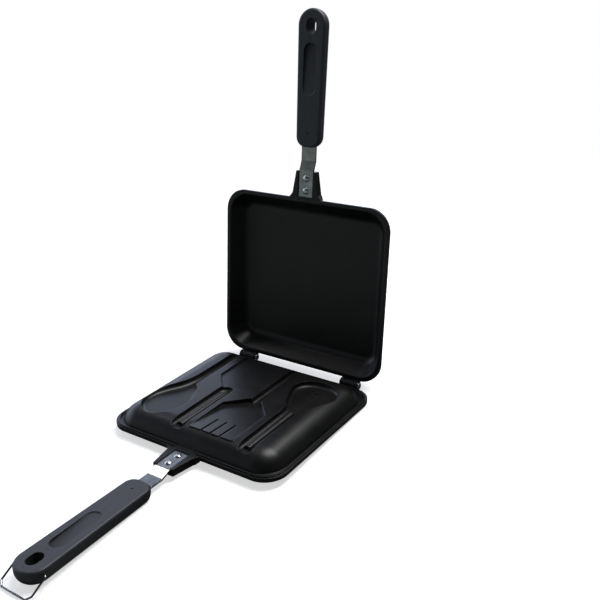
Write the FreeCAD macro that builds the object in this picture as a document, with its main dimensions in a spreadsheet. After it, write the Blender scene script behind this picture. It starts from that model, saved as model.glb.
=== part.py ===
import FreeCAD, Part
import math
import os
import Sketcher

# Stovetop sandwich toaster: two cast aluminium halves on a pin hinge, each with a riveted steel
# strip that carries a moulded handle, and a wire loop that holds the closed handles together.
# Millimetres. +Z up, +Y towards the hinges, the handles towards -Y. The origin is the centre of
# the lower half, in the plane of its rim's underside. The lid is built closed and stored open.

Vector = FreeCAD.Vector
Rotation = FreeCAD.Rotation
Placement = FreeCAD.Placement
X_AXIS = Vector(1, 0, 0)
Y_AXIS = Vector(0, 1, 0)
Z_AXIS = Vector(0, 0, 1)

SIZES = {
    # the two castings
    "plate_width": 185.0,
    "plate_depth": 169.5,
    "plate_corner": 21.5,
    "rim_height": 4.0,
    "rim_edge": 0.8,
    "bead_inset": 1.6,
    "bead_width": 1.8,
    "bead_height": 1.3,
    "bead_notch": 24.0,
    "casting_wall": 3.0,
    # the raised block of the lower half: its flat top and the round shoulder about it
    "block_side": 67.4,
    "block_front": 59.6,
    "block_rear": 56.0,
    "block_corner": 1.5,
    "block_height": 18.5,
    "shoulder": 22.0,
    # the tray of the lid
    "closing_gap": 0.2,
    "lid_rim": 3.5,
    "tray_lip": 3.8,
    "tray_depth": 17.0,
    "tray_corner": 21.6,
    "tray_draft": 32.0,
    "tray_radius": 9.0,
    "tray_edge": 1.5,
    # the utensils pressed into the block
    "spoon_place": -55.5,
    "spoon_tip": 68.2,
    "turner_place": -19.0,
    "fan_place": 16.8,
    "flat_spoon_place": 54.5,
    "flat_spoon_tip": 54.5,
    "flat_spoon_width": 45.0,
    "turner_shoulder": 20.5,
    "turner_neck": 2.2,
    "fan_neck": 3.0,
    "fan_shoulder": 21.0,
    "fan_edge": 68.0,
    "fan_stem": 12.0,
    "fan_stem_shift": 0.7,
    "trough_tip": 75.0,
    "trough_start": 5.0,
    "bar_front": 66.0,
    "bar_rear": 2.0,
    "utensil_depth": 4.6,
    "floor_radius": 3.2,
    "trough_width": 14.6,
    "bar_width": 7.8,
    "bar_rise": 3.1,
    "head_width": 47.0,
    "turner_depth": 1.3,
    "groove_width": 2.0,
    "groove_depth": 1.6,
    "groove_step": 9.9,
    "groove_length": 23.0,
    "fan_slope": 3.9,
    "slot_front": 31.0,
    "slot_length": 13.0,
    "slot_width": 1.7,
    "slot_step": 5.6,
    "slot_depth": 1.0,
    "spoon_width": 44.0,
    "spoon_depth": 5.2,
    "spoon_radius": 4.4,
    "spoon_handle": 10.3,
    # the brackets and the steel strips
    "bracket_reach": 25.6,
    "bracket_root": 28.6,
    "bracket_end": 21.2,
    "bracket_flare": 4.2,
    "bracket_spread": 3.5,
    "bracket_lap": 1.2,
    "bracket_drop": 2.9,
    "bracket_flat": 3.1,
    "pocket_back": 0.9,
    "pocket_depth": 3.0,
    "strip_width": 15.6,
    "strip_thick": 2.0,
    "strip_gap": 0.2,
    "strip_sunk": 1.0,
    "strip_drop": 3.0,
    "strip_bend": 0.6,
    "strip_slope": 9.0,
    "strip_length": 93.0,
    "rivet_first": 6.8,
    "rivet_step": 11.7,
    "rivet_shank": 4.0,
    "rivet_head": 6.8,
    "rivet_dome": 1.7,
    "rivet_foot": 1.0,
    "rivet_gap": 0.1,
    # the handles
    "handle_nose": 132.6,
    "handle_length": 123.0,
    "handle_nose_width": 26.0,
    "handle_tail_width": 29.0,
    "handle_nose_radius": 9.5,
    "handle_face": 3.4,
    "handle_thick": 15.4,
    "handle_edge": 2.2,
    "handle_belly": 10.6,
    "thumb_start": 47.6,
    "thumb_length": 45.5,
    "thumb_width": 13.6,
    "thumb_depth": 2.0,
    "thumb_tilt": 3.4,
    "thumb_edge": 0.6,
    "hang_width": 10.6,
    "hang_length": 14.0,
    "hang_end": 8.4,
    "screw_place": 13.0,
    "screw_shank": 3.4,
    "screw_head": 6.6,
    "screw_head_height": 2.4,
    "screw_recess": 3.4,
    "screw_end": 1.2,
    "screw_point": 0.5,
    "cross_length": 4.0,
    "cross_width": 0.9,
    "pilot_hole": 1.5,
    "mark_size": 1.2,
    "mark_depth": 0.4,
    "mark_front": 4.4,
    "mark_rear": 2.8,
    # the hinges
    "hinge_back": 4.75,
    "hinge_height": 4.3,
    "hinge_radius": 4.3,
    "hinge_inset": 31.0,
    "hinge_width": 19.0,
    "ear_width": 4.4,
    "side_gap": 0.3,
    "pin_size": 4.0,
    "pin_gap": 0.04,
    "pin_head": 7.0,
    "pin_head_height": 1.6,
    "pin_tail": 0.8,
    "stop_reach": 4.5,
    "stop_height": 4.15,
    "open_angle": 96.2,
    # the wire loop
    "wire_size": 1.6,
    "wire_bend": 1.8,
    "loop_width": 31.8,
    "loop_reach": 19.3,
    "loop_bevel": 3.6,
    "loop_end": 11.4,
    "loop_drop": 4.9,
    "loop_hook": 5.0,
    "loop_angle": 28.0,
    "loop_gap": 0.15,
}

doc = FreeCAD.newDocument("sandwich_toaster")
sheet = doc.addObject("Spreadsheet::Sheet", "Sizes")
for row, (name, value) in enumerate(SIZES.items(), start=1):
    sheet.set("A%d" % row, name)
    sheet.set("B%d" % row, str(value))
    sheet.setAlias("B%d" % row, name)
doc.recompute()
probe = doc.addObject("App::FeaturePython", "Probe")
probe.addProperty("App::PropertyFloat", "Amount")


def expression(words):
    """Names from the sheet, written as the document writes them."""
    out = []
    for word in words.split():
        out.append("Sizes." + word if word in SIZES else word)
    return " ".join(out)


def amount(words):
    """The number that an expression comes to."""
    probe.setExpression("Amount", expression(words))
    probe.recompute()
    return probe.Amount


def bind(thing, **properties):
    """Bind properties, with __ for a dot in their names, to expressions."""
    for name, words in properties.items():
        thing.setExpression(name.replace("__", "."), expression(words))
    return thing


# Places that several pieces share, and a length longer than any piece is thick.
HINGE_Y = "( plate_depth / 2 + hinge_back )"
PARTING = "( rim_height + bead_height + closing_gap )"
MIDDLE = "( rim_height + bead_height + closing_gap / 2 )"
FRONT = "( plate_depth / 2 )"
STRIP_TOP = "( rim_height - strip_sunk )"
STRIP_TAIL = "( plate_depth / 2 + strip_length )"
HANDLE_UNDER = "( handle_face - handle_thick )"
HANDLE_TAIL = "( handle_nose + handle_length )"
LOOP_Y = "( handle_nose + handle_length - loop_end )"
LOOP_Z = "( handle_face - loop_drop )"
LONG = "( plate_width / 2 )"


# Sketches and features

def new_body(name):
    return doc.addObject("PartDesign::Body", name)


def plane_of(body, role):
    for feature in body.Origin.OriginFeatures:
        if feature.Role == role:
            return feature
    raise ValueError(role)


def new_sketch(body, name, height="0", role="XY_Plane"):
    """A sketch parallel to an origin plane of its body, at a height above that plane."""
    drawing = body.newObject("Sketcher::SketchObject", name)
    drawing.AttachmentSupport = [(plane_of(body, role), "")]
    drawing.MapMode = "FlatFace"
    return bind(drawing, AttachmentOffset__Base__z=height)


def hold(drawing, kind, places, words):
    """A sketch dimension with its value bound to an expression."""
    index = drawing.addConstraint(Sketcher.Constraint(kind, *places, amount(words)))
    drawing.setExpression("Constraints[%d]" % index, expression(words))


def arc_of(x, y, radius, start, end):
    circle = Part.Circle(Vector(x, y, 0), Z_AXIS, radius)
    return Part.ArcOfCircle(circle, math.radians(start), math.radians(end))


def line_to(first, second):
    return Part.LineSegment(Vector(*first, 0), Vector(*second, 0))


def rounded_rectangle(drawing, left, right, front, rear, corner):
    """A rectangle with round corners; the four sides are distances outwards from the origin."""
    west, east, south, north = -amount(left), amount(right), -amount(front), amount(rear)
    radius = amount(corner)
    base = drawing.GeometryCount
    inner_w, inner_e = west + radius, east - radius
    inner_s, inner_n = south + radius, north - radius
    drawing.addGeometry([
        line_to((inner_w, south), (inner_e, south)), arc_of(inner_e, inner_s, radius, -90, 0),
        line_to((east, inner_s), (east, inner_n)), arc_of(inner_e, inner_n, radius, 0, 90),
        line_to((inner_e, north), (inner_w, north)), arc_of(inner_w, inner_n, radius, 90, 180),
        line_to((west, inner_n), (west, inner_s)), arc_of(inner_w, inner_s, radius, 180, 270),
    ])
    for step in range(8):
        following = (step + 1) % 8
        drawing.addConstraint(Sketcher.Constraint("Tangent", base + step, 2, base + following, 1))
    for step in (0, 4):
        drawing.addConstraint(Sketcher.Constraint("Horizontal", base + step))
        drawing.addConstraint(Sketcher.Constraint("Vertical", base + step + 2))
    for step in (3, 5, 7):
        drawing.addConstraint(Sketcher.Constraint("Equal", base + 1, base + step))
    hold(drawing, "Radius", (base + 1,), corner)
    hold(drawing, "DistanceY", (base, 1, -1, 1), front)
    hold(drawing, "DistanceX", (-1, 1, base + 2, 1), right)
    hold(drawing, "DistanceY", (-1, 1, base + 4, 1), rear)
    hold(drawing, "DistanceX", (base + 6, 1, -1, 1), left)


def obround(drawing, x, front, rear, width):
    """A slot along Y with round ends, its centre line at x; front and rear are its tips' places."""
    half = amount(width) / 2
    centre, low, high = amount(x), amount(front) + half, amount(rear) - half
    base = drawing.GeometryCount
    drawing.addGeometry([
        line_to((centre + half, low), (centre + half, high)), arc_of(centre, high, half, 0, 180),
        line_to((centre - half, high), (centre - half, low)), arc_of(centre, low, half, 180, 360),
    ])
    for step in range(4):
        following = (step + 1) % 4
        drawing.addConstraint(Sketcher.Constraint("Tangent", base + step, 2, base + following, 1))
    drawing.addConstraint(Sketcher.Constraint("Vertical", base))
    drawing.addConstraint(Sketcher.Constraint("Equal", base + 1, base + 3))
    hold(drawing, "Radius", (base + 1,), width + " / 2")
    hold(drawing, "DistanceX", (-1, 1, base + 1, 3), x)
    hold(drawing, "DistanceY", (-1, 1, base + 1, 3), "%s - %s / 2" % (rear, width))
    hold(drawing, "DistanceY", (-1, 1, base + 3, 3), "%s + %s / 2" % (front, width))


def disc(drawing, x, y, width):
    base = drawing.GeometryCount
    drawing.addGeometry(Part.Circle(Vector(amount(x), amount(y), 0), Z_AXIS, amount(width) / 2))
    hold(drawing, "Diameter", (base,), width)
    hold(drawing, "DistanceX", (-1, 1, base, 3), x)
    hold(drawing, "DistanceY", (-1, 1, base, 3), y)


def outline(drawing, curves):
    """A closed outline whose curves follow each other end to end."""
    base = drawing.GeometryCount
    drawing.addGeometry(curves)
    for step in range(len(curves)):
        following = (step + 1) % len(curves)
        drawing.addConstraint(
            Sketcher.Constraint("Coincident", base + step, 2, base + following, 1))
    return drawing


def chain(corners):
    """Straight lines from corner to corner and back to the first."""
    return [line_to(*pair) for pair in zip(corners, corners[1:] + corners[:1])]


def polygon(drawing, corners):
    return outline(drawing, chain(corners))


def rectangle(left, right, front, rear):
    """The corners of a rectangle, from its four places."""
    return [(left, front), (right, front), (right, rear), (left, rear)]


def pad(body, drawing, length, draft="0", down=False):
    feature = body.newObject("PartDesign::Pad", drawing.Name + "_pad")
    feature.Profile = drawing
    feature.Reversed = down
    bind(feature, Length=length, TaperAngle=draft)
    doc.recompute()
    return feature


def pocket(body, drawing, length, draft="0", up=False):
    """A pocket, cut downwards unless told; it must take something away."""
    before = body.Shape.Volume
    feature = body.newObject("PartDesign::Pocket", drawing.Name + "_pocket")
    feature.Profile = drawing
    feature.Reversed = up
    bind(feature, Length=length, TaperAngle=draft)
    doc.recompute()
    if not body.Shape.Volume < before - 1e-3:
        raise RuntimeError(drawing.Name + " cut nothing")
    return feature


def soften(body, radius, chosen, kind="Fillet"):
    """Round, or with kind Chamfer bevel, the edges of the body's tip that a test picks."""
    tip = body.Tip
    edges = ["Edge%d" % n for n, edge in enumerate(tip.Shape.Edges, start=1) if chosen(edge)]
    feature = body.newObject("PartDesign::" + kind, "%s_%s_%d" % (body.Name, kind, len(body.Group)))
    feature.Base = (tip, edges)
    bind(feature, **{"Radius" if kind == "Fillet" else "Size": radius})
    doc.recompute()
    return feature


def at_height(words, axis="Z"):
    """A test for edges that lie wholly at one height, or at one place along another axis."""
    place = amount(words)

    def test(edge):
        box = edge.BoundBox
        low, high = getattr(box, axis + "Min"), getattr(box, axis + "Max")
        return abs(low - place) < 1e-4 and abs(high - place) < 1e-4
    return test


def within(edge, reach, front, rear):
    """Whether an edge lies between two places along Y, and no farther out than reach along X."""
    place = edge.BoundBox
    return max(-place.XMin, place.XMax) < reach and front < place.YMin and place.YMax < rear


# Solids put together from others

def joined(name, pieces):
    whole = doc.addObject("Part::MultiFuse", name)
    whole.Shapes = pieces
    whole.Refine = True
    doc.recompute()
    return whole


def cut(name, base, tool):
    rest = doc.addObject("Part::Cut", name)
    rest.Base = base
    rest.Tool = tool
    rest.Refine = True
    doc.recompute()
    if not rest.Shape.Volume < base.Shape.Volume - 1e-3:
        raise RuntimeError(name + " cut nothing")
    return rest


def common(name, first, second):
    shared = doc.addObject("Part::Common", name)
    shared.Base = first
    shared.Tool = second
    doc.recompute()
    return shared


def box(name, west, south, floor, length, width, height):
    block = doc.addObject("Part::Box", name)
    return bind(
        block, Placement__Base__x=west, Placement__Base__y=south, Placement__Base__z=floor,
        Length=length, Width=width, Height=height)


def rod(name, radius, length, x, y, z, axis=Z_AXIS):
    """A cylinder from a place along an axis."""
    cylinder = doc.addObject("Part::Cylinder", name)
    cylinder.Placement = Placement(Vector(0, 0, 0), Rotation(Z_AXIS, axis))
    return bind(
        cylinder, Radius=radius, Height=length,
        Placement__Base__x=x, Placement__Base__y=y, Placement__Base__z=z)


def mirrored_across_parting(name, source):
    """The same piece on the lid, turned over about the plane where the halves meet."""
    mirror = doc.addObject("Part::Mirroring", name)
    mirror.Source = source
    mirror.Normal = Z_AXIS
    bind(mirror, Base__z=MIDDLE)
    doc.recompute()
    return mirror


# The block of the lower half, and the hollow that follows it underneath

def dome(name, grow, top):
    """A block with a round shoulder, its sides grown outwards and its top at a height."""
    body = new_body(name)
    radius = "( shoulder + %s )" % grow
    drawing = new_sketch(body, name + "_outline", "%s - %s - rim_height" % (top, radius))
    rounded_rectangle(
        drawing, "block_side + " + radius, "block_side + " + radius, "block_front + " + radius,
        "block_rear + " + radius, "block_corner + " + radius)
    pad(body, drawing, radius + " + rim_height")
    soften(body, radius, at_height(top))
    return body


def half_space(name, height):
    """Everything below a height."""
    return box(name, "0 - plate_width", "0 - plate_width", "%s - %s" % (height, LONG),
               "2 * plate_width", "2 * plate_width", LONG)


# The utensils pressed into the block, seen from above

# How wide a spoon is, as a share of its widest, at distances from its tip; the last is its stem.
ROUND_SPOON = ((0, 0), (2.7, 0.41), (10, 0.77), (18, 0.955), (27, 1), (37, 0.918), (47, 0.709),
               (56, 0.473), (82, None))
FLAT_SPOON = ((0, 0), (1.5, 0.46), (6, 0.8), (14.5, 1), (24, 0.96), (35, 0.77), (46, 0.54),
              (64, None))


def spoon_outline(shape, centre, tip, turned, width, stem, far, grow=0):
    """A bowl drawn through its widths, with a straight stem; turned is +1 with the stem rearwards."""
    side = []
    for distance, share in shape[1:]:
        half = stem / 2 if share is None else share * width / 2
        side.append(Vector(centre + half + grow, tip + turned * distance, 0))
    other = [Vector(2 * centre - point.x, point.y, 0) for point in side]
    along = Vector(0, turned, 0)
    first, last = (other, side) if turned > 0 else (side, other)
    bowl = Part.BSplineCurve()
    bowl.interpolate(Points=first[::-1] + [Vector(centre, tip - turned * grow, 0)] + last,
                     InitialTangent=along * -1, FinalTangent=along)
    start, end = (first[-1].x, first[-1].y), (last[-1].x, last[-1].y)
    far_end, far_start = (end[0], far), (start[0], far)
    return [bowl, line_to(end, far_end), line_to(far_end, far_start), line_to(far_start, start)]


# How much of a head's growth its sloping shoulders share along Y.
SHOULDER_SHARE = 0.4


def turner_corners(centre, edge, shoulder_y, neck_y, width, neck, grow=0):
    """A flat head from its edge to its shoulders, which slope in to the neck."""
    way = 1 if edge > neck_y else -1
    half, stem = width / 2 + grow, neck / 2 + grow
    tip, fall = edge + way * grow, way * grow * SHOULDER_SHARE
    return [
        (centre - half, tip), (centre - half, shoulder_y - fall), (centre - stem, neck_y - fall),
        (centre + stem, neck_y - fall), (centre + half, shoulder_y - fall), (centre + half, tip)]


def hollowed(name, curves, depth, radius="0"):
    """What a pressed shape takes out of the block: straight walls, and a floor round at its edge."""
    body = new_body(name)
    drawing = outline(new_sketch(body, name + "_outline", "2 * block_height"), curves)
    pad(body, drawing, depth + " + block_height", down=True)
    if amount(radius) > 0:
        soften(body, radius, at_height("block_height - " + depth))
    return body


def backing(name, curves, depth):
    """The metal under a pressed shape, down to a casting wall below its floor."""
    body = new_body(name)
    drawing = outline(new_sketch(body, name + "_outline", "block_height"), curves)
    pad(body, drawing, depth + " + casting_wall", down=True)
    return body


def slot_curves(centre, front, rear, width, grow=0):
    half = width / 2 + grow
    low, high = front + width / 2, rear - width / 2
    return [
        line_to((centre + half, low), (centre + half, high)), arc_of(centre, high, half, 0, 180),
        line_to((centre - half, high), (centre - half, low)), arc_of(centre, low, half, 180, 360)]


def pressed_utensils():
    """The tools that hollow the block, the metal behind them and what stands in their floors."""
    wall = amount("casting_wall")
    out = amount("block_rear + shoulder")
    hidden = out - 2 * wall
    hollows, backs, raised = [], [], []

    spoon = dict(shape=ROUND_SPOON, centre=amount("spoon_place"), tip=amount("0 - spoon_tip"),
                 turned=1, width=amount("spoon_width"), stem=amount("spoon_handle"))
    hollows.append(hollowed("spoon", spoon_outline(far=out, **spoon), "spoon_depth", "spoon_radius"))
    backs.append(backing("spoon_back", spoon_outline(far=hidden, grow=wall, **spoon), "spoon_depth"))

    head = dict(width=amount("head_width"), neck=amount("trough_width"))
    turner = dict(centre=amount("turner_place"), shoulder_y=amount("turner_shoulder"),
                  neck_y=amount("turner_neck"), **head)
    hollows.append(hollowed("turner", chain(turner_corners(edge=out, **turner)), "turner_depth"))
    backs.append(backing(
        "turner_back", chain(turner_corners(edge=hidden, grow=wall, **turner)), "turner_depth"))
    trough = (amount("turner_place"), amount("0 - trough_tip"), amount("trough_start"),
              amount("trough_width"))
    hollows.append(hollowed("trough", slot_curves(*trough), "utensil_depth", "floor_radius"))
    backs.append(backing("trough_back", slot_curves(*trough, grow=wall), "utensil_depth"))

    flat = dict(shape=FLAT_SPOON, centre=amount("flat_spoon_place"), tip=amount("flat_spoon_tip"),
                turned=-1, width=amount("flat_spoon_width"), stem=amount("trough_width"))
    end = amount("trough_width / 2 - trough_tip")
    curves = spoon_outline(far=end, **flat)
    curves[2] = arc_of(flat["centre"], end, flat["stem"] / 2, 180, 360)
    hollows.append(hollowed("flat_spoon", curves, "utensil_depth", "floor_radius"))
    backs.append(backing("flat_spoon_back", spoon_outline(far=end - flat["stem"] / 2, grow=wall,
                                                          **flat), "utensil_depth"))

    for name, place in (("turner_bar", "turner_place"), ("flat_spoon_bar", "flat_spoon_place")):
        radius = "bar_width / 2"
        floor = "block_height - utensil_depth"
        whole = rod(name, radius, "bar_front - bar_rear", place, "0 - bar_front",
                    floor + " + bar_rise - " + radius, Y_AXIS)
        foot = half_space(name + "_foot", floor + " - casting_wall / 3")
        raised.append(cut(name + "_top", whole, foot))
    return hollows, backs, raised


def tilted_sketch(body, name, y, height, angle):
    """A sketch on a plane through a line along X, turned about that line."""
    drawing = new_sketch(body, name, height)
    drawing.AttachmentOffset = Placement(Vector(0, 0, 0), Rotation(X_AXIS, 1))
    return bind(drawing, AttachmentOffset__Base__y=y, AttachmentOffset__Rotation__Angle=angle)


def slotted_turner():
    """The second turner: its floor climbs from the neck until its front edge stands proud."""
    wall = amount("casting_wall")
    centre, neck_y, edge = amount("fan_place"), amount("0 - fan_neck"), amount("0 - fan_edge")
    head = dict(centre=centre, edge=edge, shoulder_y=amount("0 - fan_shoulder"), neck_y=neck_y,
                width=amount("head_width"), neck=amount("fan_stem"))
    column = new_body("fan_column")
    drawing = new_sketch(column, "fan_outline", "block_height - 1.5 * utensil_depth")
    outline(drawing, chain(turner_corners(**head)))
    pad(column, drawing, "3 * utensil_depth")

    # The climbing floor passes through the bottom of the recess at the neck.
    slope = "0 - fan_slope"
    floor = "block_height - utensil_depth"
    under = new_body("fan_under")
    drawing = tilted_sketch(under, "fan_plane", "0 - fan_neck", floor, slope)
    far = amount("plate_depth")
    pad(under, polygon(drawing, rectangle(-far, far, -far, far)), LONG, down=True)
    grooves = new_body("fan_grooves")
    drawing = tilted_sketch(grooves, "fan_groove_outline", "0 - fan_neck", floor, slope)
    step, half = amount("groove_step"), amount("groove_width") / 2
    front, rear = edge - neck_y - step / 2, edge - neck_y + amount("groove_length")
    for number in (-1, 0, 1):
        x = centre + number * step
        polygon(drawing, rectangle(x - half, x + half, front, rear))
    pad(grooves, drawing, "groove_depth", down=True)

    middle, half = centre + amount("fan_stem_shift"), amount("spoon_handle") / 2
    front, out = neck_y - amount("floor_radius"), amount("block_rear + shoulder")
    stem = chain(rectangle(middle - half, middle + half, front, out))
    channel = hollowed("fan_stem", stem, "utensil_depth", "floor_radius")
    half += wall
    stem_back = chain(rectangle(middle - half, middle + half, front, out - 2 * wall))
    backs = [backing("fan_stem_back", stem_back, "utensil_depth"),
             backing("fan_back", chain(turner_corners(grow=wall, **head)), "utensil_depth")]
    fill = common("fan_floor", column, under)
    void = cut("fan_hollow", column, under)
    return fill, [void, channel], backs, grooves


# The brackets, the same on both halves

def bracket():
    """A forked lug with an open pocket for the strip, in the lower half's place."""
    root, reach = amount(FRONT), amount(FRONT + " + bracket_reach")
    end, foot = amount("bracket_end / 2"), amount("bracket_root / 2")
    waist, flare = -amount(FRONT + " + bracket_flare"), foot + amount("bracket_spread")
    lap = amount("bracket_lap") - root
    plan = new_body("bracket_plan")
    drawing = polygon(new_sketch(plan, "bracket_outline", "0 - 2 * bracket_drop"), [
        (-end, -reach), (end, -reach), (foot, waist), (flare, -root), (flare, lap),
        (-flare, lap), (-flare, -root), (-foot, waist)])
    pad(plan, drawing, "rim_height + 2 * bracket_drop")
    side = new_body("bracket_side")
    drop, top = -amount("bracket_drop"), amount("rim_height")
    drawing = polygon(new_sketch(side, "bracket_profile", "0 - bracket_root", "YZ_Plane"), [
        (-reach, drop), (-root - amount("bracket_flat"), drop), (lap, 0), (lap, top),
        (-reach, top)])
    pad(side, drawing, "2 * bracket_root")
    fork = common("bracket_lug", plan, side)
    half = "( strip_width / 2 + strip_gap )"
    inner = box("bracket_pocket", "0 - " + half, "0 - %s - bracket_reach - pocket_back" % FRONT,
                STRIP_TOP + " - strip_thick", "2 * " + half, "bracket_reach",
                "rim_height + pocket_depth")
    return cut("bracket", cut("bracket_fork", fork, inner), rivet_bores("bracket_bore"))


def rivet_place(number):
    return "( 0 - %s - rivet_first - %d * rivet_step )" % (FRONT, number)


def through_rod(name, radius, y):
    """A rod on the middle line that passes above and below every piece."""
    return rod(name, radius, "2 * " + LONG, "0", y, "0 - " + LONG)


def rivet_bores(name):
    radius = "rivet_shank / 2 + rivet_gap"
    return joined(name, [through_rod("%s_%d" % (name, number), radius, rivet_place(number))
                         for number in (0, 1)])


# The hinges

def hinge_piece(name, x, width, lowest, highest):
    """A knuckle or an ear: a rod about the hinge axis on a web from the rim."""
    start = "%s - %s / 2" % (x, width)
    barrel = rod(name + "_barrel", "hinge_radius", width, start, HINGE_Y, "hinge_height", X_AXIS)
    web = box(name + "_web", start, FRONT + " - bracket_lap", lowest, width,
              "hinge_back + bracket_lap", "%s - ( %s )" % (highest, lowest))
    return [barrel, web]


def hinge_bore(name, x):
    return rod(name, "pin_size / 2 + pin_gap", "2 * hinge_width", x + " - hinge_width",
               HINGE_Y, "hinge_height", X_AXIS)


HINGE_SIDES = (("left", "( hinge_inset - plate_width / 2 )"),
               ("right", "( plate_width / 2 - hinge_inset )"))


def base_plate(lug):
    rim = new_body("rim")
    half_width, half_depth = "( plate_width / 2 )", "( plate_depth / 2 )"
    slab = new_sketch(rim, "rim_outline")
    rounded_rectangle(slab, half_width, half_width, half_depth, half_depth, "plate_corner")
    pad(rim, slab, "rim_height")
    soften(rim, "rim_edge", at_height("0"))
    bead = new_sketch(rim, "bead_outline", "rim_height")
    for inset in ("bead_inset", "( bead_inset + bead_width )"):
        across, along = half_width + " - " + inset, half_depth + " - " + inset
        rounded_rectangle(bead, across, across, along, along, "plate_corner - " + inset)
    pad(rim, bead, "bead_height")
    notch, edge = amount("bead_notch / 2"), amount(half_depth)
    inner = edge - amount("bead_inset + 1.5 * bead_width")
    gap = polygon(new_sketch(rim, "notch_outline", "rim_height + bead_height"),
                  rectangle(-notch, notch, -edge, -inner))
    pocket(rim, gap, "bead_height")

    block = cut("block_above_rim", dome("block", "0", "block_height"),
                half_space("block_foot", "rim_height / 2"))
    hollow = dome("hollow", "( 0 - casting_wall )", "block_height - casting_wall")
    shell = cut("shell", joined("shell_whole", [rim, block]), hollow)
    hollows, backs, raised = pressed_utensils()
    fan_floor, fan_hollows, fan_backs, grooves = slotted_turner()
    skin = "casting_wall / 2"
    core = dome("core", "( 0 - %s )" % skin, "( block_height - %s )" % skin)
    backed = common("backing", joined("backs", backs + fan_backs), core)
    thick = joined("backed_shell", [shell, backed])
    carved = thick
    for tool in hollows + fan_hollows:
        carved = cut("carved_" + tool.Name, carved, tool)
    figures = joined("figures", [carved, fan_floor] + raised)
    figures = cut("grooved", figures, joined("slots", [grooves] + spoon_slots()))
    pieces = [figures, lug]
    width = "( hinge_width - 2 * ear_width - 2 * side_gap )"
    for side, x in HINGE_SIDES:
        name = "knuckle_" + side
        pieces += hinge_piece(name, x, width, "hinge_height - hinge_radius", "rim_height")
        pieces.append(box(name + "_stop", "%s - %s / 2" % (x, width), HINGE_Y, "hinge_height",
                          width, "stop_reach", "stop_height"))
    bores = joined("base_hinge_bores", [hinge_bore("base_bore_" + side, x)
                                        for side, x in HINGE_SIDES])
    return cut("base_plate", joined("base_pieces", pieces), bores)


def spoon_slots():
    floor = "block_height - utensil_depth"
    slots = []
    for number in (-1, 0, 1):
        body = new_body("spoon_slot_%d" % (number + 1))
        drawing = new_sketch(body, body.Name + "_outline", floor + " - slot_depth")
        obround(drawing, "flat_spoon_place + %d * slot_step" % number, "slot_front",
                "( slot_front + slot_length )", "slot_width")
        pad(body, drawing, "2 * slot_depth")
        slots.append(body)
    return slots


def lid_plate(lug):
    form = new_body("lid_form")
    half_width, half_depth = "( plate_width / 2 )", "( plate_depth / 2 )"
    flange = new_sketch(form, "lid_outline", PARTING)
    rounded_rectangle(flange, half_width, half_width, half_depth, half_depth, "plate_corner")
    pad(form, flange, "lid_rim")
    soften(form, "rim_edge", at_height(PARTING + " + lid_rim"))
    slope = "tray_draft * 1 deg"
    shift = "( casting_wall / cos( %s ) - tray_lip - lid_rim * tan( %s ) )" % (slope, slope)
    back = new_sketch(form, "lid_back_outline", PARTING + " + lid_rim")
    rounded_rectangle(
        back, half_width + " + " + shift, half_width + " + " + shift, half_depth + " + " + shift,
        half_depth + " + " + shift, "tray_corner + tray_lip + " + shift)
    pad(form, back, "tray_depth + casting_wall - lid_rim", "0 - tray_draft")
    soften(form, "tray_radius + casting_wall",
           at_height(PARTING + " + tray_depth + casting_wall"))
    tray = new_sketch(form, "tray_outline", PARTING)
    across, along = half_width + " - tray_lip", half_depth + " - tray_lip"
    rounded_rectangle(tray, across, across, along, along, "tray_corner")
    pocket(form, tray, "tray_depth", "0 - tray_draft", up=True)
    soften(form, "tray_radius", at_height(PARTING + " + tray_depth"))
    mouth = at_height(PARTING)
    reach, deep = amount(half_width + " - tray_lip / 2"), amount(half_depth + " - tray_lip / 2")
    soften(form, "tray_edge", lambda edge: mouth(edge) and within(edge, reach, -deep, deep))

    pieces = [form, mirrored_across_parting("lid_bracket", lug)]
    for side, x in HINGE_SIDES:
        for number, way in (("1", "-"), ("2", "+")):
            name = "ear_%s_%s" % (side, number)
            place = "( %s %s ( hinge_width - ear_width ) / 2 )" % (x, way)
            pieces += hinge_piece(name, place, "ear_width", PARTING, "hinge_height + hinge_radius")
    bores = joined("lid_hinge_bores", [hinge_bore("lid_bore_" + side, x)
                                       for side, x in HINGE_SIDES])
    return cut("lid_plate", joined("lid_pieces", pieces), bores)


# The steel strips, their rivets, and the handles

def strip():
    """A bent steel strip: flat in the bracket's pocket, stepped down, then flat inside the handle."""
    top, thick = amount(STRIP_TOP), amount("strip_thick")
    drop, slope = amount("strip_drop"), amount("strip_slope")
    start = -amount(FRONT + " + pocket_back + strip_gap")
    bend = -amount(FRONT + " + bracket_reach + strip_bend")
    step, tail, low = bend - slope, -amount(STRIP_TAIL), top - drop
    shift = thick * math.tan(math.atan2(drop, slope) / 2)
    body = new_body("strip")
    drawing = new_sketch(body, "strip_profile", "0 - strip_width / 2", "YZ_Plane")
    polygon(drawing, [
        (start, top), (bend, top), (step, low), (tail, low), (tail, low - thick),
        (step + shift, low - thick), (bend + shift, top - thick), (start, top - thick)])
    pad(body, drawing, "strip_width")
    holes = joined("strip_holes", [rivet_bores("strip_bore"), screw_bore("strip_screw_bore")])
    return cut("base_strip", body, holes)


SCREW_Y = "( 0 - handle_nose - screw_place )"


def screw_bore(name):
    return through_rod(name, "screw_shank / 2 + rivet_gap", SCREW_Y)


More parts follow.
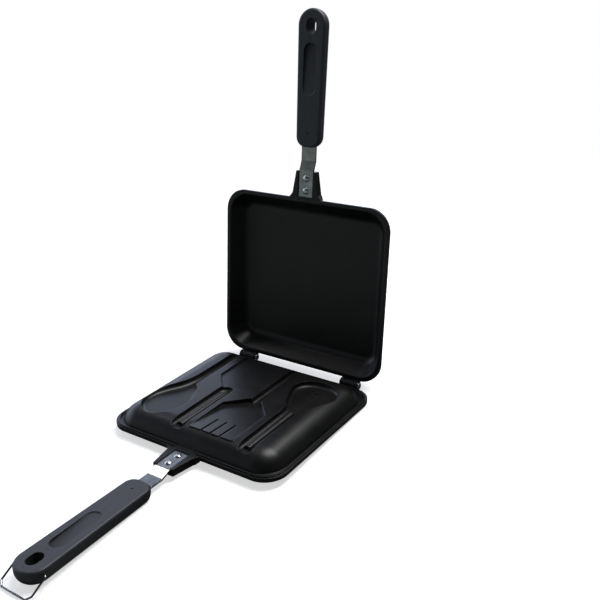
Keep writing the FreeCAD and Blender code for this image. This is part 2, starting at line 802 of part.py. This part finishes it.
def rivets():
    """Two shanks with a low dome above the strip and a flat head under the bracket."""
    over, under = amount(STRIP_TOP), amount("0 - bracket_drop")
    foot, rise = under - amount("rivet_foot"), amount("rivet_dome")
    half, shank = amount("rivet_head / 2"), amount("rivet_shank / 2")
    ball = (half ** 2 + rise ** 2) / (2 * rise)
    circle = Part.Circle(Vector(0, over + rise - ball, 0), Z_AXIS, ball)
    dome_arc = Part.ArcOfCircle(circle, math.asin((ball - rise) / ball), math.pi / 2)
    below = [(0, foot), (half, foot), (half, under), (shank, under), (shank, over), (half, over)]
    pieces = []
    for number in (0, 1):
        body = new_body("rivet_%d" % number)
        drawing = new_sketch(body, body.Name + "_profile", "0", "YZ_Plane")
        bind(drawing, AttachmentOffset__Base__x=rivet_place(number))
        outline(drawing, [line_to(*pair) for pair in zip(below, below[1:])]
                + [dome_arc, line_to((0, over + rise), below[0])])
        turn = body.newObject("PartDesign::Revolution", body.Name + "_turn")
        turn.Profile = drawing
        turn.ReferenceAxis = (drawing, ["V_Axis"])
        turn.Angle = 360
        doc.recompute()
        pieces.append(body)
    return joined("base_rivets", pieces)


def handle():
    """A moulded grip: flat inner face, a full round belly, a thumb rest and a hanging hole."""
    nose, tail = amount("handle_nose"), amount(HANDLE_TAIL)
    front, back = amount("handle_nose_width / 2"), amount("handle_tail_width / 2")
    corner = amount("handle_nose_radius")
    side = math.atan2(back - front, tail - nose - back)
    lean = math.degrees(side)
    x, y = front - corner, -nose - corner
    start_x, start_y = x + corner * math.cos(side), y + corner * math.sin(side)
    end_x, end_y = back * math.cos(side), -tail + back + back * math.sin(side)
    body = new_body("grip")
    drawing = new_sketch(body, "grip_outline", HANDLE_UNDER)
    outline(drawing, [
        line_to((end_x, end_y), (start_x, start_y)),
        arc_of(x, y, corner, lean, 90),
        line_to((x, -nose), (-x, -nose)),
        arc_of(-x, y, corner, 90, 180 - lean),
        line_to((-start_x, start_y), (-end_x, end_y)),
        arc_of(0, -tail + back, back, 180 - lean, 360 + lean)])
    pad(body, drawing, "handle_thick")
    face = at_height("handle_face")
    soften(body, "handle_edge", face)
    soften(body, "handle_belly", at_height(HANDLE_UNDER))

    thumb = new_sketch(body, "thumb_outline", "handle_face - thumb_depth")
    thumb.AttachmentOffset = Placement(Vector(0, 0, 0), Rotation(X_AXIS, 1))
    bind(thumb, AttachmentOffset__Rotation__Angle="thumb_tilt",
         AttachmentOffset__Base__y="0 - handle_nose - thumb_start - thumb_length / 2",
         AttachmentOffset__Base__z="handle_face - thumb_depth")
    obround(thumb, "0", "( 0 - thumb_length / 2 )", "( thumb_length / 2 )", "thumb_width")
    pocket(body, thumb, "handle_thick", up=True)
    reach = amount("( thumb_width + handle_nose_width ) / 4")
    thumb_front = -amount("handle_nose + thumb_start - thumb_depth")
    thumb_rear = -amount("handle_nose + thumb_start + thumb_length + thumb_depth")
    soften(body, "thumb_edge",
           lambda edge: face(edge) and within(edge, reach, thumb_rear, thumb_front))

    hanger = new_sketch(body, "hanger_outline", "handle_face")
    hole_rear = "( hang_end - %s )" % HANDLE_TAIL
    hole_front = "( hang_end + hang_length - %s )" % HANDLE_TAIL
    obround(hanger, "0", hole_rear, hole_front, "hang_width")
    pocket(body, hanger, "2 * handle_thick")
    marks = new_sketch(body, "mark_outline", "handle_face")
    disc(marks, "0", hole_front + " + mark_front", "mark_size")
    disc(marks, "0", hole_rear + " - mark_rear", "mark_size")
    pocket(body, marks, "mark_depth")

    half = "( strip_width / 2 + strip_gap )"
    low = "( %s - strip_drop - strip_thick - strip_gap )" % STRIP_TOP
    rear = "( %s + strip_gap )" % STRIP_TAIL
    tools = [
        box("strip_slot", "0 - " + half, "0 - " + rear, low, "2 * " + half,
            "%s - handle_nose / 2" % rear, "strip_thick + 2 * strip_gap"),
        rod("pilot", "pilot_hole / 2", "handle_thick", "0", SCREW_Y, "0"),
        rod("screw_hole", "screw_shank / 2 + rivet_gap", "2 * handle_thick", "0", SCREW_Y,
            "screw_end - 2 * handle_thick"),
        rod("screw_seat", "screw_head / 2 + rivet_gap", "handle_thick", "0", SCREW_Y,
            HANDLE_UNDER + " + screw_recess - handle_thick")]
    return cut("handle", body, joined("handle_tools", tools))


def screw():
    """The handle's fixing screw, in from the outer side, its round head sunk in the grip."""
    seat = "( %s + screw_recess )" % HANDLE_UNDER
    crown = "( %s - screw_head_height )" % seat
    body = new_body("base_handle_screw")
    head = new_sketch(body, "screw_head_outline", crown)
    disc(head, "0", SCREW_Y, "screw_head")
    pad(body, head, "screw_head_height")
    soften(body, "screw_head_height / 3", at_height(crown))
    shank = new_sketch(body, "screw_shank_outline", seat)
    disc(shank, "0", SCREW_Y, "screw_shank")
    pad(body, shank, "screw_end - " + seat)
    soften(body, "screw_point", at_height("screw_end"), "Chamfer")
    cross = new_sketch(body, "screw_cross_outline", crown)
    arm, half, place = amount("cross_length / 2"), amount("cross_width / 2"), amount(SCREW_Y)
    polygon(cross, [
        (-half, place - arm), (half, place - arm), (half, place - half), (arm, place - half),
        (arm, place + half), (half, place + half), (half, place + arm), (-half, place + arm),
        (-half, place + half), (-arm, place + half), (-arm, place - half), (-half, place - half)])
    pocket(body, cross, "screw_head_height / 2", up=True)
    return body


def hinge_pin(name, x):
    """A steel pin with a round head on its +X side."""
    start = "( %s - hinge_width / 2 - pin_tail )" % x
    body = new_body(name)
    shank = new_sketch(body, name + "_shank", start, "YZ_Plane")
    disc(shank, HINGE_Y, "hinge_height", "pin_size")
    pad(body, shank, "hinge_width + pin_tail")
    soften(body, "pin_tail / 2", at_height(start, "X"), "Chamfer")
    head = new_sketch(body, name + "_head", "%s + hinge_width / 2" % x, "YZ_Plane")
    disc(head, HINGE_Y, "hinge_height", "pin_head")
    pad(body, head, "pin_head_height")
    soften(body, "pin_head_height * 0.6",
           at_height("%s + hinge_width / 2 + pin_head_height" % x, "X"))
    return body


def latch_bail():
    """A bent wire: hooked ends in the handle's sides, two arms, and a bevelled cross bar."""
    side, reach = amount("loop_width / 2"), amount("loop_reach")
    bevel, bend = amount("loop_bevel"), amount("wire_bend")
    hook = side - amount("loop_hook") - bend
    corners = [Vector(x, y, 0) for x, y in (
        (hook, 0), (side, 0), (side, bevel - reach), (side - bevel, -reach),
        (bevel - side, -reach), (-side, bevel - reach), (-side, 0), (-hook, 0))]
    curves = []
    start = corners[0]
    for before, corner, after in zip(corners, corners[1:], corners[2:]):
        first, second = (before - corner).normalize(), (after - corner).normalize()
        half_turn = (math.pi - first.getAngle(second)) / 2
        cut_back = bend * math.tan(half_turn)
        into, out = corner + first * cut_back, corner + second * cut_back
        bulge = (first + second).normalize()
        centre = corner + bulge * (bend / math.cos(half_turn))
        curves.append(Part.LineSegment(start, into).toShape())
        curves.append(Part.Arc(into, centre - bulge * bend, out).toShape())
        start = out
    curves.append(Part.LineSegment(start, corners[-1]).toShape())
    path = Part.Wire(curves)
    circle = Part.Circle(corners[0], X_AXIS, amount("wire_size / 2"))
    pipe = path.makePipeShell([Part.Wire(circle.toShape())], True, False)
    expected = math.pi * amount("wire_size / 2") ** 2 * path.Length
    assert abs(pipe.Volume - expected) < 0.01 * expected
    bail = doc.addObject("Part::Feature", "latch_bail")
    bail.Shape = pipe
    bail.Placement = Placement(
        Vector(0, -amount(LOOP_Y), amount(LOOP_Z)), Rotation(X_AXIS, amount("loop_angle")))
    return bail


def bail_bores():
    """Blind holes in both sides of the lower grip for the wire's hooked ends."""
    radius = "wire_size / 2 + loop_gap"
    deep = "( loop_width / 2 - loop_hook - wire_bend - loop_gap )"
    return joined("bail_bores", [
        rod("bail_bore_right", radius, LONG, deep, "0 - " + LOOP_Y, LOOP_Z, X_AXIS),
        rod("bail_bore_left", radius, LONG, "0 - %s - %s" % (deep, LONG), "0 - " + LOOP_Y, LOOP_Z,
            X_AXIS)])


# The pieces, and the lid's turned open about the hinge

lug = bracket()
grip = handle()
base_pieces = [
    base_plate(lug), strip(), rivets(), cut("base_handle", grip, bail_bores()), screw()]
lid_pieces = [
    lid_plate(lug),
    mirrored_across_parting("lid_strip", base_pieces[1]),
    mirrored_across_parting("lid_rivets", base_pieces[2]),
    mirrored_across_parting("lid_handle", grip),
    mirrored_across_parting("lid_handle_screw", base_pieces[4])]
lid_pieces += [hinge_pin("hinge_pin_" + side, x) for side, x in HINGE_SIDES]
hinge = Vector(0, amount(HINGE_Y), amount("hinge_height"))
opened = Placement(Vector(0, 0, 0), Rotation(X_AXIS, -amount("open_angle")), hinge)
for piece in lid_pieces:
    piece.Placement = opened
pieces = base_pieces + lid_pieces + [latch_bail()]
doc.recompute()

for thing in doc.Objects:
    if "Invalid" in thing.State or "Error" in thing.State:
        raise RuntimeError("%s is %s" % (thing.Name, thing.State))
for piece in pieces:
    piece.Label = piece.Name
    if piece.Shape.isNull() or not piece.Shape.isValid():
        raise RuntimeError(piece.Name + " has no valid shape")

os.makedirs("parts", exist_ok=True)
for piece in pieces:
    piece.Shape.exportStep(os.path.join("parts", piece.Label + ".step"))
    print(piece.Label, len(piece.Shape.Solids), round(piece.Shape.Volume, 1))
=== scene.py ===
import math

import bpy
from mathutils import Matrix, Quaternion, Vector

# Looks of a stovetop sandwich toaster: camera, studio light and the finish of each piece.
# Metres, in the frame of the solid model: +Y towards the hinges, the handles towards -Y.

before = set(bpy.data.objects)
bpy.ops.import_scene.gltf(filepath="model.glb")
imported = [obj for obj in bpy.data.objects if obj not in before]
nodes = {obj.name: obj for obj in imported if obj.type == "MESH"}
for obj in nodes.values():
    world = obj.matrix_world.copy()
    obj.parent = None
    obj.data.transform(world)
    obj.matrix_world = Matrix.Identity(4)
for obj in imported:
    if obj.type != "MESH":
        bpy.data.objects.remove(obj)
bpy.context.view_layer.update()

# Camera: a moderate telephoto from the front right, 22 degrees above the table.
CAMERA_PLACE = Vector((0.40338, -0.49606, 0.37315))
CAMERA_AIM = Vector((-0.51938, 0.76475, -0.38133))
CAMERA_ROLL = math.radians(-1.655)
CAMERA_LENS = 47.07
SENSOR_WIDTH = 36.0

# The toaster stands on the underside of its lower handle and on the rear corners of its rim,
# so the table leans a little against the frame of the solid model.
HANDLE_REST = Vector((0, -0.245, -0.012))
RIM_REST = Vector((0, 0.0895, 0))
TABLE_REACH = 6.0
WALL_SIDE = Vector((-0.8, 0.5, 0.33))
# Painted shade on the table as the finishes mirror it: paler towards this side, darker near and behind the
# toaster.
PAINTED_SHADE_SIDE = Vector((-0.35, -0.94, 0))
TABLE_WHITE_FROM = 0.45
TABLE_WHITE_TO = 1.1
TABLE_GLOW = 0.6


def camera():
    data = bpy.data.cameras.new("camera")
    data.lens = CAMERA_LENS
    data.sensor_width = SENSOR_WIDTH
    data.clip_start = 0.01
    data.clip_end = 60.0
    view = bpy.data.objects.new("camera", data)
    bpy.context.scene.collection.objects.link(view)
    view.location = CAMERA_PLACE
    view.rotation_mode = "QUATERNION"
    view.rotation_quaternion = CAMERA_AIM.to_track_quat("-Z", "Y") @ Quaternion((0, 0, 1), CAMERA_ROLL)
    bpy.context.scene.camera = view


def colour(code):
    """The linear value of an sRGB colour written as six hexadecimal digits."""
    parts = [int(code[i:i + 2], 16) / 255 for i in (0, 2, 4)]
    linear = [p / 12.92 if p <= 0.04045 else ((p + 0.055) / 1.055) ** 2.4 for p in parts]
    return (*linear, 1.0)


def cells(millimetres):
    """The pattern scale at which one cell is that wide."""
    return 1000.0 / millimetres


def add(tree, kind, inputs=None, **settings):
    """A node with its settings made and its inputs typed or linked."""
    made = tree.nodes.new("ShaderNode" + kind)
    for name, value in settings.items():
        setattr(made, name, value)
    for name, value in (inputs or {}).items():
        if isinstance(value, bpy.types.NodeSocket):
            tree.links.new(value, made.inputs[name])
        else:
            made.inputs[name].default_value = value
    return made


def ramp(tree, fac, stops):
    """Colours against a value, as (place, colour) stops."""
    made = add(tree, "ValToRGB", {"Fac": fac})
    elements = made.color_ramp.elements
    while len(elements) < len(stops):
        elements.new(0.5)
    for element, (place, tone) in zip(elements, stops):
        element.position = place
        element.color = tone
    return made.outputs["Color"]


def spread(tree, value, low, high, start=0.3, end=0.7):
    """The middle range of a noise, spread between two values."""
    return add(tree, "MapRange", {"Value": value, "From Min": start, "From Max": end,
                                  "To Min": low, "To Max": high}).outputs["Result"]


def noise(tree, place, millimetres, detail=3.0):
    return add(tree, "TexNoise", {"Vector": place, "Scale": cells(millimetres),
                                  "Detail": detail}).outputs["Fac"]


def rounded(tree, millimetres):
    """The surface's direction with every sharp edge rounded off by that radius."""
    return add(tree, "Bevel", {"Radius": millimetres / 1000.0}, samples=6).outputs["Normal"]


def bump(tree, height, depth, strength, under):
    """Relief of a depth in millimetres, on top of another relief."""
    return add(tree, "Bump", {"Height": height, "Distance": depth / 1000.0, "Strength": strength,
                              "Normal": under}).outputs["Normal"]


def new_material(name):
    made = bpy.data.materials.new(name)
    made.use_nodes = True
    tree = made.node_tree
    tree.nodes.clear()
    surface = add(tree, "BsdfPrincipled")
    output = add(tree, "OutputMaterial")
    tree.links.new(surface.outputs["BSDF"], output.inputs["Surface"])
    place = add(tree, "TexCoord").outputs["Object"]
    return made, tree, surface, place


def link(tree, surface, **values):
    """Values of the shader: a link for a pattern, a typed value for an even one."""
    for name, value in values.items():
        socket = surface.inputs[name.replace("_", " ")]
        if isinstance(value, bpy.types.NodeSocket):
            tree.links.new(value, socket)
        else:
            socket.default_value = value


def non_stick_coating():
    # Sprayed black non-stick coating over cast aluminium: near-black, with a soft sheen that
    # wanders a little, the fine orange peel of the spray and a sparse paler mineral fleck.
    made, tree, surface, place = new_material("non_stick_coating")
    clouds = noise(tree, place, 16.0)
    peel = noise(tree, place, 0.9, 2.0)
    grain = noise(tree, place, 0.25, 1.0)
    flecks = add(tree, "TexVoronoi", {"Vector": place, "Scale": cells(1.9)}).outputs["Distance"]
    tone = ramp(tree, clouds, [(0.3, colour("0f0f10")), (0.7, colour("151516"))])
    fleck = ramp(tree, flecks, [(0.06, colour("4a4b4e")), (0.1, colour("000000"))])
    mixed = add(tree, "MixRGB", {"Fac": 0.35, "Color1": tone, "Color2": fleck}, blend_type="ADD")
    rough = spread(tree, clouds, 0.35, 0.41)
    normal = bump(tree, peel, 0.012, 0.8, bump(tree, grain, 0.004, 0.6, rounded(tree, 0.9)))
    link(tree, surface, Base_Color=mixed.outputs["Color"], Roughness=rough, IOR=1.5, Normal=normal)
    return made


def moulded_phenolic(name, along):
    # Moulded phenolic resin: dark blue-grey, satin, with a fine grit from the mould, faint flow
    # marks along the grip and scattered rubbed patches.
    made, tree, surface, place = new_material(name)
    turned = add(tree, "Mapping", {"Vector": place, "Rotation": (along, 0, 0)}).outputs["Vector"]
    flow = add(tree, "Mapping", {"Vector": turned, "Scale": (1.0, 0.12, 1.0)}).outputs["Vector"]
    streaks = noise(tree, flow, 2.5)
    patches = noise(tree, place, 22.0, 5.0)
    grit = noise(tree, place, 0.35, 2.0)
    tone = ramp(tree, streaks, [(0.3, colour("2b2d34")), (0.7, colour("32343c"))])
    worn = add(tree, "MixRGB", {"Fac": spread(tree, patches, 0.0, 0.5, 0.5, 0.8),
                                "Color1": tone, "Color2": colour("393b43")})
    rough = spread(tree, patches, 0.45, 0.56)
    normal = bump(tree, grit, 0.02, 0.8, bump(tree, streaks, 0.01, 0.5, rounded(tree, 0.6)))
    link(tree, surface, Base_Color=worn.outputs["Color"], Roughness=rough, IOR=1.62, Normal=normal)
    return made


def brushed_metal(name, dark, light, smooth, rough, grain, along=0.0):
    """Metal with fine lines along one direction, and faint smudges in its shine."""
    made, tree, surface, place = new_material(name)
    turned = add(tree, "Mapping", {"Vector": place, "Rotation": (along, 0, 0)}).outputs["Vector"]
    drawn = add(tree, "Mapping", {"Vector": turned, "Scale": (1.0, 0.03, 1.0)}).outputs["Vector"]
    lines = noise(tree, drawn, grain, 2.0)
    smudges = noise(tree, place, 7.0)
    tone = ramp(tree, smudges, [(0.3, colour(dark)), (0.7, colour(light))])
    normal = bump(tree, lines, 0.006, 0.6, rounded(tree, 0.2))
    link(tree, surface, Base_Color=tone, Metallic=1.0, Roughness=spread(tree, lines, smooth, rough),
         Normal=normal)
    return made


def headed_metal(name, dark, light, smooth, rough):
    """Metal pressed to shape by a tool: small dents, and smudges in its shine."""
    made, tree, surface, place = new_material(name)
    dents = noise(tree, place, 1.6)
    smudges = noise(tree, place, 4.0)
    tone = ramp(tree, smudges, [(0.3, colour(dark)), (0.7, colour(light))])
    normal = bump(tree, dents, 0.03, 0.5, rounded(tree, 0.2))
    link(tree, surface, Base_Color=tone, Metallic=1.0, Roughness=spread(tree, smudges, smooth, rough),
         Normal=normal)
    return made


def white_table():
    # Pale studio table: white, matt, with the toaster's shadow on it. It runs into the white of the studio
    # well outside that shadow. The black finishes mirror a copy of it with painted shade: a grey diffuse,
    # dark near the toaster and behind it, pale towards the front left.
    made, tree, surface, place = new_material("white_table")
    speck = noise(tree, place, 3.0)
    tone = ramp(tree, speck, [(0.3, colour("f4f4f4")), (0.7, colour("fbfbfb"))])
    link(tree, surface, Base_Color=tone, Roughness=0.7, Specular_IOR_Level=0.1,
         Emission_Color=(1, 1, 1, 1), Emission_Strength=TABLE_GLOW)
    away = add(tree, "VectorMath", {0: place}, operation="LENGTH").outputs["Value"]
    share = add(tree, "MapRange", {"Value": away, "From Min": TABLE_WHITE_FROM,
                                   "From Max": TABLE_WHITE_TO}).outputs["Result"]
    studio = add(tree, "Emission", {"Color": (1, 1, 1, 1), "Strength": 1.0}).outputs["Emission"]
    seen = add(tree, "MixShader", {0: share, 1: surface.outputs["BSDF"], 2: studio})
    # Painted shade for mirrored rays only: a grey diffuse copy of the table, dark near the toaster and
    # behind it, pale towards the front left.
    side = add(tree, "VectorMath", {0: place, 1: PAINTED_SHADE_SIDE}, operation="DOT_PRODUCT").outputs["Value"]
    shade = ramp(tree, side, [(0.12, colour("5c5d5f")), (0.62, colour("e8f4ea"))])
    dim = add(tree, "BsdfDiffuse", {"Color": shade}).outputs["BSDF"]
    path = add(tree, "LightPath").outputs["Is Camera Ray"]
    whole = add(tree, "MixShader", {0: path, 1: dim, 2: seen.outputs["Shader"]})
    output = next(n for n in tree.nodes if n.type == "OUTPUT_MATERIAL")
    tree.links.new(whole.outputs["Shader"], output.inputs["Surface"])
    return made


def table():
    lean = math.atan2(RIM_REST.z - HANDLE_REST.z, RIM_REST.y - HANDLE_REST.y)
    mesh = bpy.data.meshes.new("table")
    corners = [(-TABLE_REACH, -TABLE_REACH), (TABLE_REACH, -TABLE_REACH),
               (TABLE_REACH, TABLE_REACH), (-TABLE_REACH, TABLE_REACH)]
    mesh.from_pydata([(x, y, 0.0) for x, y in corners], [], [(0, 1, 2, 3)])
    made = bpy.data.objects.new("table", mesh)
    bpy.context.scene.collection.objects.link(made)
    made.location = (0, 0, RIM_REST.z - RIM_REST.y * math.tan(lean))
    made.rotation_euler = (lean, 0, 0)
    mesh.materials.append(white_table())


def studio():
    """White to the eye. What the finishes mirror is a pale wall beyond the toaster, a dim
    ceiling, and a dark room behind the camera."""
    world = bpy.data.worlds.new("studio")
    bpy.context.scene.world = world
    world.use_nodes = True
    tree = world.node_tree
    tree.nodes.clear()
    way = add(tree, "TexCoord").outputs["Generated"]
    beyond = add(tree, "VectorMath", {0: way, 1: WALL_SIDE}, operation="DOT_PRODUCT").outputs["Value"]
    share = add(tree, "MapRange", {"Value": beyond, "From Min": 0.15, "From Max": 0.85},
                interpolation_type="SMOOTHSTEP").outputs["Result"]
    tone = ramp(tree, share, [(0.0, colour("4a4e4c")), (0.45, colour("8a8e94")), (1.0, colour("dce6ff"))])
    parts = add(tree, "SeparateXYZ", {"Vector": way}).outputs
    low = add(tree, "MapRange", {"Value": parts["Z"], "From Min": 0.38, "From Max": 0.56,
                                 "To Min": 2.1, "To Max": 0.15}).outputs["Result"]
    left = add(tree, "MapRange", {"Value": parts["X"], "From Min": -0.1, "From Max": 0.4,
                                  "To Min": 1.0, "To Max": 0.35}).outputs["Result"]
    strength = add(tree, "Math", {0: low, 1: left}, operation="MULTIPLY").outputs["Value"]
    room = add(tree, "Background", {"Color": tone, "Strength": strength})
    seen = add(tree, "Background", {"Color": (1, 1, 1, 1), "Strength": 1.0})
    path = add(tree, "LightPath").outputs["Is Camera Ray"]
    both = add(tree, "MixShader", {0: path, 1: room.outputs["Background"],
                                   2: seen.outputs["Background"]})
    output = add(tree, "OutputWorld")
    tree.links.new(both.outputs["Shader"], output.inputs["Surface"])


def softbox(name, place, aim, width, height, power):
    data = bpy.data.lights.new(name, "AREA")
    data.shape = "RECTANGLE"
    data.size = width
    data.size_y = height
    data.energy = power
    made = bpy.data.objects.new(name, data)
    bpy.context.scene.collection.objects.link(made)
    made.location = place
    made.rotation_mode = "QUATERNION"
    made.rotation_quaternion = (Vector(aim) - Vector(place)).to_track_quat("-Z", "Y")
    made.visible_camera = False


def finish_nodes(material, *names):
    for name in names:
        for slot in nodes[name].material_slots:
            slot.material = material


bpy.context.scene.view_settings.view_transform = "Standard"
camera()
table()
studio()
softbox("softbox_above", (0.22, 0.4, 1.22), (0, 0, 0), 0.5, 0.85, 12.5)
softbox("softbox_left", (-0.88, 0.09, 1.13), (0, -0.12, 0), 0.18, 0.18, 0.6)

lid_turn = math.radians(96.2)
finish_nodes(non_stick_coating(), "base_plate", "lid_plate")
finish_nodes(moulded_phenolic("moulded_phenolic_base", 0.0), "base_handle")
finish_nodes(moulded_phenolic("moulded_phenolic_lid", lid_turn), "lid_handle")
finish_nodes(brushed_metal("strip_steel_base", "b0b2b1", "d0d2d0", 0.16, 0.25, 0.4), "base_strip")
finish_nodes(brushed_metal("strip_steel_lid", "b0b2b1", "d0d2d0", 0.16, 0.25, 0.4, lid_turn), "lid_strip")
finish_nodes(headed_metal("headed_aluminium", "c4c5c7", "e2e2e2", 0.22, 0.36), "base_rivets", "lid_rivets")
finish_nodes(headed_metal("blackened_steel", "2c2d30", "46474a", 0.3, 0.45),
             "base_handle_screw", "lid_handle_screw")
finish_nodes(headed_metal("plated_pins", "cfd1d4", "eceef0", 0.1, 0.2), "hinge_pin_left", "hinge_pin_right")
finish_nodes(brushed_metal("drawn_wire", "a9abae", "cfd1d4", 0.16, 0.28, 0.3), "latch_bail")
